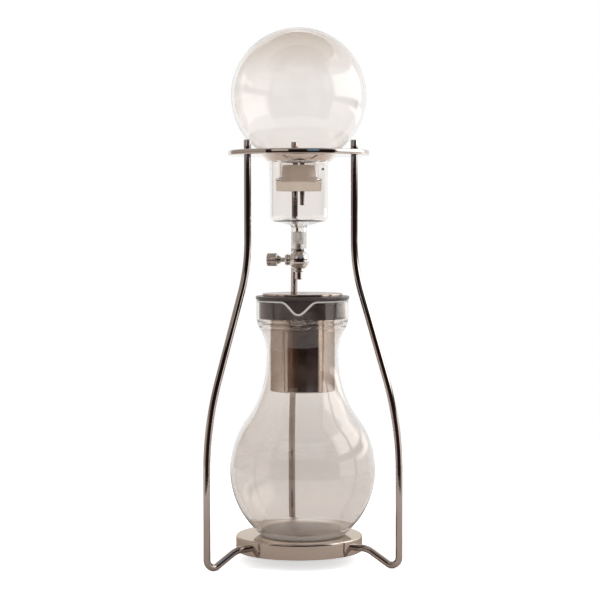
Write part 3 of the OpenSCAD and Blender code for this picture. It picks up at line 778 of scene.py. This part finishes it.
def carafe_wall(inset):
    bx = BULB_R - BULB_ARC
    dx, dz = WAIST_R - bx, WAIST_Z - BULB_Z
    hollow = (dx * dx + dz * dz - BULB_ARC ** 2) / (2 * (BULB_ARC - dx))
    turn = math.degrees(math.atan2(dz, dx + hollow))
    total = SHOULDER_HOLLOW + SHOULDER_ROUND
    lean = math.degrees(math.acos(1 - (NECK_R - WAIST_R) / total))
    shoulder_z = WAIST_Z + WAIST_H + total * math.sin(math.radians(lean))
    foot_z = BASE_Z + FOOT_R
    foot_dx = math.sqrt((BULB_ARC - FOOT_R) ** 2 - (foot_z - BULB_Z) ** 2)
    foot_turn = math.degrees(math.atan2(foot_z - BULB_Z, foot_dx))
    side = arc(bx + foot_dx, foot_z, FOOT_R - inset - CONTACT, -90, foot_turn, 7)
    side += arc(bx, BULB_Z, BULB_ARC - inset, foot_turn, turn, 48)[1:]
    side += arc(WAIST_R + hollow, WAIST_Z, hollow + inset, 180 + turn, 180, 20)[1:]
    side += arc(WAIST_R + SHOULDER_HOLLOW, WAIST_Z + WAIST_H, SHOULDER_HOLLOW + inset,
                180, 180 - lean, 12)
    side += arc(NECK_R - SHOULDER_ROUND, shoulder_z, SHOULDER_ROUND - inset,
                -lean, 0, 28)[1:]
    rim = [Vector((NECK_R - inset, shoulder_z + (RIM_Z - 1.3 - shoulder_z) * k / 10))
           for k in range(1, 11)]
    middle = [Vector((PUSH_UP_R * k / 8,
                      BASE_Z + inset + PUSH_UP * (1 - (k / 8) ** 2 * 0.8)))
              for k in range(9)]
    return middle + [Vector((27, BASE_Z + inset + CONTACT))] + side + rim

# %% Carafe, turned and then pulled to a spout
SPOUT_TURN = math.radians(-90 - 9)
SPOUT_HALF, SPOUT_DROP, SPOUT_REACH = 16.0, 10.8, 6.6


def dip(side):
    """How far the rim has come down, from 0 to 1, at a distance from the middle."""
    share = min(1.0, abs(side) / SPOUT_HALF)
    return 0.5 + 0.5 * math.cos(math.pi * share)


def pulled(x, y, z):
    """Where the spout tool leaves a point of the wall."""
    turn = math.atan2(y, x) - SPOUT_TURN
    turn = math.atan2(math.sin(turn), math.cos(turn))
    if z < 196 or abs(turn) > 0.7:
        return Vector((x, y, z))
    r = math.hypot(x, y)
    amount = dip(r * math.sin(turn))
    climb = max(0.0, (z - 204) / (RIM_Z - 204))
    z -= SPOUT_DROP * amount * climb ** 2
    r += SPOUT_REACH * amount ** 1.3 * climb ** 2.2
    angle = SPOUT_TURN + turn * (1 - 0.16 * amount)
    return Vector((r * math.cos(angle), r * math.sin(angle), z))


inside = carafe_wall(GLASS_T)
for point in inside:
    if point.y < BULB_Z:
        point.y += FOOT_GLASS * ((BULB_Z - point.y) / (BULB_Z - BASE_Z)) ** 2
    for fold_z, fold in FOLDS:
        point.x -= fold * math.exp(-((point.y - fold_z) / 1.1) ** 2)
outline = carafe_wall(0) + list(reversed(inside))
carafe_mesh = turned_mesh(outline, 288)
for vert in carafe_mesh.verts:
    vert.co = pulled(*vert.co)
to_carafe = Matrix.Translation((CARAFE_X, 0, 0))
carafe = finished("carafe_blown", carafe_mesh, to_carafe, sharp=60)

# %% [markdown]
# The cut rim was melted in a flame until it drew together into a bead. It is swept
# along the pulled rim, and its pale, half-clear finish is a painted highlight, so
# that it reads as a bright line.

# %% The bead along the rim
BEAD_R, BEAD_STEPS = 0.95, 288
loop = []
for k in range(BEAD_STEPS):
    a = 2 * math.pi * k / BEAD_STEPS
    middle_r = NECK_R - GLASS_T / 2
    point = pulled(middle_r * math.cos(a), middle_r * math.sin(a), RIM_Z)
    loop.append((to_carafe @ (point - Vector((0, 0, BEAD_R)))) * MM)
path = bpy.data.meshes.new("rim_bead")
path.from_pydata(loop, [(k, (k + 1) % BEAD_STEPS) for k in range(BEAD_STEPS)], [])
bead = new_object("rim_bead", path)
run_tree(bead, swept_tree("swept_bead", sides=16), {"Radius": BEAD_R * MM,
                                                    "Finish": painted_rim_highlight})
wall_faces = len(carafe.data.polygons)
carafe = join("carafe_blown", [carafe, bead])
dress(carafe, carafe_glass, "carafe")
carafe.data.materials.append(painted_rim_highlight)
carafe.data.materials.append(foot_glass)
for face in carafe.data.polygons:
    face.use_smooth = True
    if face.index >= wall_faces:
        face.material_index = 1
    elif face.center.z < FOOT_TOP * MM:
        face.material_index = 2

# %% [markdown]
# ## Stopper, tubes and sleeve
# The stopper fills the globe's neck. Water runs down one tube and air climbs the
# other, so the chamber below keeps its level by itself.

# %% Stopper and tubes
spin("stopper", "moulded", stopper_rubber, [
    (0, 333.7), (20, 333.7, 0.8), (20.7, 342.2, 0.8), (15.9, 342.2, 0.3),
    (14.4, 357, 1.2), (0, 357)], 5, 96)
for name, x, low in (("water_tube", 3.1, 321.0), ("air_tube", -3.1, 328.2)):
    spin(name, "drawn", tube_steel, [
        (1.5, low, 0.2), (2.2, low, 0.3), (2.2, 359.5, 0.3), (1.5, 359.5, 0.2)], 3, 40,
        Matrix.Translation((x, 0, 0)))
spin("joint_sleeve", "frosted", frosted_plastic, [
    (3.55, 286.5, 0.2), (5.15, 286.5, 0.3), (5.15, 296.8, 0.8), (3.55, 296.8, 0.2)], 4, 64)

# %% [markdown]
# ## The drip valve
# A polished ball the size of a marble, with a neck up into the glass, a boss at the
# side for the needle's stem and a seat below for the tip. The upright parts are one
# outline; the boss is a second one, laid over on the stem's line.

# %% Valve body
along_stem = (Matrix.Translation((0, 0, VALVE_Z))
              @ Matrix.Rotation(math.radians(STEM_TURN), 4, "Z")
              @ Matrix.Rotation(math.radians(90), 4, "Y"))
BALL_R, SEAT_R, NECK_JOINT_R = 9.4, 4.4, 5.4
ball_low = -math.degrees(math.acos(SEAT_R / BALL_R))
ball_high = math.degrees(math.acos(NECK_JOINT_R / BALL_R))
upright = turned("valve_upright", rounded(
    [(1.5, 262.7), (SEAT_R, 262.7, 0.2)]
    + arc(0, VALVE_Z, BALL_R, ball_low, ball_high, 40)
    + [(NECK_JOINT_R, 282.0, 0.4), (3.5, 282.0, 0.3), (3.5, 297.6, 0.4),
       (1.5, 297.6, 0.2)], 4), 96, sharp=30)
boss = turned("valve_boss", rounded([(0, 4), (5.0, 4), (5.0, 9.7, 0.4), (3.65, 9.7, 0.1),
                                     (3.65, 8.9), (0, 8.9)], 4), 64, along_stem)
valve = join("valve_body_polished", [upright, boss])
dress(valve, valve_metal, "valve_body")

# %% Packing nut, stem and tip
spin("packing_nut", "polished", valve_metal, [
    (2.15, 9.72, 0.1), (5.5, 9.72, 0.25), (4.8, 12.2, 0.5), (2.15, 12.2, 0.2)], 4, 64,
    along_stem)
spin("valve_stem", "polished", valve_metal, [
    (0, -1), (0.5, -1), (1.45, 3), (2.1, 3, 0.1), (2.1, 23.5), (1.25, 23.5),
    (1.25, 18.5), (0, 18.5)], 3, 48, along_stem)
spin("drip_tip", "polished", valve_metal, [
    (1.2, 254.3, 0.2), (2.2, 254.3, 0.3), (3.2, 255.3, 0.3), (3.2, 261.2, 0.3),
    (5.2, 261.2, 0.4), (5.2, 262.7, 0.5), (2.4, 262.7, 0.2), (2.4, 266.7, 0.2),
    (1.2, 266.7, 0.1)], 4, 64)
finish_node("stem_o_ring", black_rubber)

# %% [markdown]
# The knob is gripped by wet fingers, so its rim is fluted. One rounded ridge is
# modelled and the ring tree copies it twenty-four times round the turned body.

# %% Knob
FLUTES = 24
body = turned("knob_body", rounded([
    (2.15, 16.5, 0.2), (3.0, 16.5, 0.4), (4.5, 19.9, 0.5), (5.0, 19.9, 0.3),
    (5.42, 20.5, 0.3), (5.42, 28.4, 0.3), (5.0, 29, 0.5), (2.6, 29, 0.2), (2.6, 26.6, 0.1),
    (2.15, 26.6)], 4), 96)
ridge_mesh = turned_mesh(rounded([(0, 20.2), (0.42, 20.2, 0.4), (0.42, 28.7, 0.4),
                                  (0, 28.7)], 3), 12)
ridge = finished("knob_ridge", ridge_mesh)
run_tree(ridge, ring_of_copies, {"Count": FLUTES, "Radius": 5.37 * MM, "First Angle": 0.0,
                                 "Finish": valve_metal})
knob = join("valve_knob_polished", [body, ridge])
knob.data.transform(Matrix.Scale(MM, 4) @ along_stem @ Matrix.Scale(1 / MM, 4))
dress(knob, valve_metal, "valve_knob")
finish_node("knob_screw", plain_steel)

# %% [markdown]
# ## The filter
# A steel cup for the coffee hangs in the carafe's neck by its flange, with a rubber
# seal between steel and glass and a pressed lid with a drip hole on top.

# %% Lid, cup, screen and seal
LID_Z = 239.7
CUP_Z = LID_Z - 0.8         # underside of the cup's flange
SEAL_Z = LID_Z - 3.1        # underside of the seal's flange
spin("filter_lid", "pressed", filter_steel, [
    (5, LID_Z + 2.3, 0.5), (5, LID_Z, 0.3), (26.9, LID_Z), (26.9, LID_Z - 3, 0.2),
    (27.9, LID_Z - 3, 0.3), (27.9, LID_Z), (34.9, LID_Z), (34.9, LID_Z + 0.8, 0.1),
    (35.9, LID_Z + 0.8, 0.3), (35.9, LID_Z + 2.3, 0.7)], 5, place=to_carafe)
spin("coffee_chamber", "drawn", filter_steel, [
    (24.5, 154, 0.3), (29, 154, 0.9), (29, CUP_Z, 0.2), (34.5, CUP_Z, 0.2),
    (34.5, LID_Z, 0.2), (28.2, LID_Z, 0.4), (28.2, 154.8, 0.3), (24.5, 154.8, 0.3)], 5,
    place=to_carafe)
finish_node("filter_screen", filter_steel)
spin("neck_seal", "moulded", seal_rubber, [
    (29.05, CUP_Z), (29.05, 219.3, 0.4), (38.9, 219.3, 1.2), (38.9, SEAL_Z, 0.4),
    (42.2, SEAL_Z, 1.2), (42.2, LID_Z, 1.2), (34.6, LID_Z, 0.3), (34.6, CUP_Z)], 5,
    place=to_carafe)

# %% [markdown]
# ## Studio
# Polished metal is only as good as what it mirrors. So the object stands in a small
# studio that is plain to the lamps and varied to the mirrors: a pale floor that glows
# a little towards the camera, so that its shadow stays light, bent cards all round,
# and white beyond. The floor fades out far away.

# %% Helpers for the studio
VIEW_TURN = -94.252         # direction of the camera's side, in degrees from +X


def seen_rays(tree, *kinds):
    """1 for the named kinds of ray, 0 for the light that diffuses."""
    path = add(tree, "ShaderNodeLightPath")
    seen = path.outputs[kinds[0]]
    for kind in kinds[1:]:
        either = add(tree, "ShaderNodeMath", operation="MAXIMUM")
        wire(tree, (seen, either, 0), (path, kind, either, 1))
        seen = either.outputs[0]
    return seen


def cut_out(tree, amount, shader):
    """Sends a shader to the output where amount is 1, and nothing where it is 0."""
    nothing = add(tree, "ShaderNodeBsdfTransparent")
    pick = add(tree, "ShaderNodeMixShader")
    wire(tree,
         (amount, pick, "Fac"),
         (nothing, "BSDF", pick, 1), (shader, "BSDF", pick, 2),
         (pick, "Shader", tree.nodes["Material Output"], "Surface"))


def sheet(name, bm, material):
    """A stage object from a bare mesh."""
    piece = object_from(name, bm)
    piece.data.materials.append(material)
    return piece

# %% Floor and world
material, tree, shader, place = new_material("pale_floor")
fill(shader, {"Roughness": 0.9, "Specular IOR Level": 0.1, "Emission Color": (1, 1, 1, 1)})
own = add(tree, "ShaderNodeMix", {6: (0.70, 0.68, 0.66, 1),         # for scattered light
                                  7: (0.52, 0.445, 0.40, 1)},       # for mirrors
          data_type="RGBA")
paper = add(tree, "ShaderNodeMix", {7: (1, 1, 1, 1)}, data_type="RGBA")
lit = add(tree, "ShaderNodeMath", {1: 0.6}, operation="MULTIPLY")
far = add(tree, "ShaderNodeVectorMath", operation="LENGTH")
near = add(tree, "ShaderNodeMapRange", {"From Min": 0.3, "From Max": 1.0,
                                        "To Min": 1.0, "To Max": 0.0})
wire(tree,
     (seen_rays(tree, "Is Glossy Ray"), own, "Factor"),
     (own, 2, paper, 6),
     (seen_rays(tree, "Is Camera Ray", "Is Transmission Ray"), paper, "Factor"),
     (paper, 2, shader, "Base Color"),
     (seen_rays(tree, "Is Camera Ray"), lit, 0),
     (lit, 0, shader, "Emission Strength"),
     (place, far, 0), (far, "Value", near, "Value"))
cut_out(tree, near.outputs["Result"], shader)
bm = bmesh.new()
bmesh.ops.create_grid(bm, x_segments=8, y_segments=8, size=3.0)
floor = sheet("floor", bm, material)
floor.location.z = -0.0002

world = bpy.data.worlds.new("studio_world")
bpy.context.scene.world = world
world.use_nodes = True
tree = world.node_tree
sky = tree.nodes["Background"]
sky.inputs["Color"].default_value = (1, 1, 1, 1)
strength = add(tree, "ShaderNodeMapRange", {"To Min": 0.55, "To Max": 1.0})
wire(tree,
     (seen_rays(tree, "Is Camera Ray", "Is Glossy Ray", "Is Transmission Ray"),
      strength, "Value"),
     (strength, "Result", sky, "Strength"))
print("floor and world ready")

# %% Lamps
def lamp(name, place, size, watts):
    """A softbox that points at the tower and is not seen itself."""
    data = bpy.data.lights.new(name, "AREA")
    data.shape = "RECTANGLE"
    data.size, data.size_y = size
    data.energy = watts
    piece = new_object(name, data)
    piece.location = place
    piece.rotation_mode = "QUATERNION"
    piece.rotation_quaternion = (Vector((0, 0, 0.24)) - Vector(place)).to_track_quat("-Z", "Y")
    piece.visible_camera = piece.visible_transmission = False
    return piece


lamp("window_right", (1.35, 0.15, 0.75), (1.0, 1.3), 9).visible_glossy = False
lamp("softbox_left", (-1.5, -0.5, 0.9), (0.6, 1.1), 5)
lamp("softbox_top", (0.1, 0.1, 1.9), (2.2, 2.2), 14)
lamp("fill_front", (-0.3, -2.2, 0.7), (1.4, 1.0), 16).visible_glossy = False

# %% [markdown]
# The screens are bent cards round the object. Their angles are counted from the
# camera's side, because a round rod shows them in that order from its middle to its
# edges: dark in the middle, with a pale, a blue and two brown cards in front of it, a
# warm grey wall on the left, and two windows with a dark shelf between them on the
# right. Only a mirror shows them. A ray that has merely passed through glass misses
# them, and they light nothing and shade nothing. Some edges fade, as daylight's do.

# %% Screens
SCREEN_STEPS = 24


def screen_cloth(name, color, soft):
    """Light of one colour, shown by mirrors only; soft fades the left, right, lower
    and upper edge over that share of the screen."""
    cloth, tree, shader, place = new_material(name)
    fill(shader, {"Base Color": (0, 0, 0, 1), "Roughness": 1.0, "Specular IOR Level": 0.0,
                  "Emission Color": (*color, 1), "Emission Strength": 1.0})
    across = add(tree, "ShaderNodeUVMap", uv_map="across")
    split = add(tree, "ShaderNodeSeparateXYZ")
    path = add(tree, "ShaderNodeLightPath")
    mirrored = add(tree, "ShaderNodeMath", {1: 0.5}, operation="GREATER_THAN")
    wire(tree, (across, "UV", split, 0),
         (path, "Glossy Depth", mirrored, 0))
    seen = mirrored.outputs[0]
    left, right, lower, upper = soft
    for axis, start, end, at_start in (("X", 0.0, left, 0.0), ("X", 1.0 - right, 1.0, 1.0),
                                       ("Y", 0.0, lower, 0.0), ("Y", 1.0 - upper, 1.0, 1.0)):
        if start == end:
            continue
        fade = add(tree, "ShaderNodeMapRange",
                   {"From Min": start, "From Max": end,
                    "To Min": at_start, "To Max": 1.0 - at_start},
                   interpolation_type="SMOOTHSTEP")
        both = add(tree, "ShaderNodeMath", operation="MULTIPLY")
        wire(tree, (split, axis, fade, "Value"),
             (seen, both, 0), (fade, "Result", both, 1))
        seen = both.outputs[0]
    cut_out(tree, seen, shader)
    return cloth


def screen(name, radius, first, last, low, high, color, soft=(0, 0, 0, 0), middle=1.0):
    """A bent card between two angles and two heights, in metres; middle scales the
    radius of its upper edge, and 0 makes a flat disc."""
    bm = bmesh.new()
    across = bm.loops.layers.uv.new("across")
    rows = []
    for k in range(SCREEN_STEPS + 1):
        a = math.radians(VIEW_TURN + first + (last - first) * k / SCREEN_STEPS)
        x, y = radius * math.cos(a), radius * math.sin(a)
        rows.append([bm.verts.new((x, y, low)),
                     bm.verts.new((x * middle, y * middle, high))])
    for k, (left, right) in enumerate(zip(rows, rows[1:])):
        face = bm.faces.new((left[0], left[1], right[1], right[0]))
        for loop, corner in zip(face.loops, ((k, 0), (k, 1), (k + 1, 1), (k + 1, 0))):
            loop[across].uv = (corner[0] / SCREEN_STEPS, corner[1])
    piece = sheet(name, bm, screen_cloth(name, color, soft))
    piece.visible_camera = piece.visible_diffuse = piece.visible_shadow = False
    return piece.name


SCREENS = (
    # name, radius, first and last angle, low and high edge, colour, soft edges
    ("screen_high", 0.56, -52, 58, 0.40, 1.45, (0.26, 0.235, 0.22)),
    ("screen_front", 0.55, -52, 58, 0.0, 0.50, (0.016, 0.010, 0.009), (0, 0, 0, 0.16)),
    ("card_pale", 0.54, -42, -16, 0.378, 0.80, (0.62, 0.56, 0.52)),
    ("card_blue", 0.54, 13, 31, 0.378, 0.70, (0.16, 0.27, 0.40)),
    ("card_brown", 0.54, -53, -33, 0.0, 0.26, (0.20, 0.13, 0.10), (0, 0, 0, 0.3)),
    ("card_rust", 0.54, -32, -12, 0.0, 0.26, (0.06, 0.022, 0.015), (0, 0.2, 0, 0.3)),
    ("card_slate", 0.54, 14, 52, 0.0, 0.26, (0.035, 0.02, 0.03), (0, 0, 0, 0.3)),
    ("wall_left", 0.95, -140, -44, 0.0, 0.32, (0.64, 0.575, 0.53)),
    ("shelf_left", 0.94, -140, -44, 0.23, 0.45, (0.36, 0.30, 0.28), (0, 0, 0.3, 0)),
    ("wall_left_high", 0.93, -140, -44, 0.345, 1.5, (0.46, 0.41, 0.38), (0, 0, 0.08, 0)),
    ("wall_right", 0.95, 54, 90, 0.0, 0.32, (1.3, 1.22, 1.14)),
    ("window_low", 0.95, 94, 150, 0.15, 0.32, (2.2, 2.1, 2.0), (0.1, 0.3, 0.3, 0)),
    ("shelf_right", 0.94, 54, 125, 0.23, 0.45, (0.12, 0.10, 0.095), (0, 0.1, 0.3, 0)),
    ("window_high", 0.93, 57, 135, 0.345, 0.95, (2.8, 2.75, 2.7), (0.15, 0.2, 0.14, 0.2)),
    ("ceiling", 0.95, 0, 360, 1.5, 1.5, (0.50, 0.45, 0.42), (0, 0, 0, 0), 0.0),
)
print("screens:", [screen(*row) for row in SCREENS])

# %% [markdown]
# ## Camera
# The photograph was taken from low down with a long lens, a little to the left of
# the front. The place and lens below were solved from the positions of the cap nuts,
# feet, base and rim in the picture.

# %% Camera
data = bpy.data.cameras.new("photo_camera")
data.sensor_width, data.lens = 36.0, 110.64
camera = new_object("photo_camera", data)
camera.location = (-0.12206, -1.65467, 0.30949)
azimuth = math.radians(VIEW_TURN + 90)
pitch, roll = math.radians(2.54), math.radians(-0.07)
camera.rotation_mode = "QUATERNION"
camera.rotation_quaternion = (
    Matrix.Rotation(azimuth, 4, "Z") @ Matrix.Rotation(math.radians(90) - pitch, 4, "X")
    @ Matrix.Rotation(roll, 4, "Z")).to_quaternion()
bpy.context.scene.camera = camera
bpy.context.scene.view_settings.view_transform = "Standard"
print("camera", [round(c, 3) for c in camera.location])
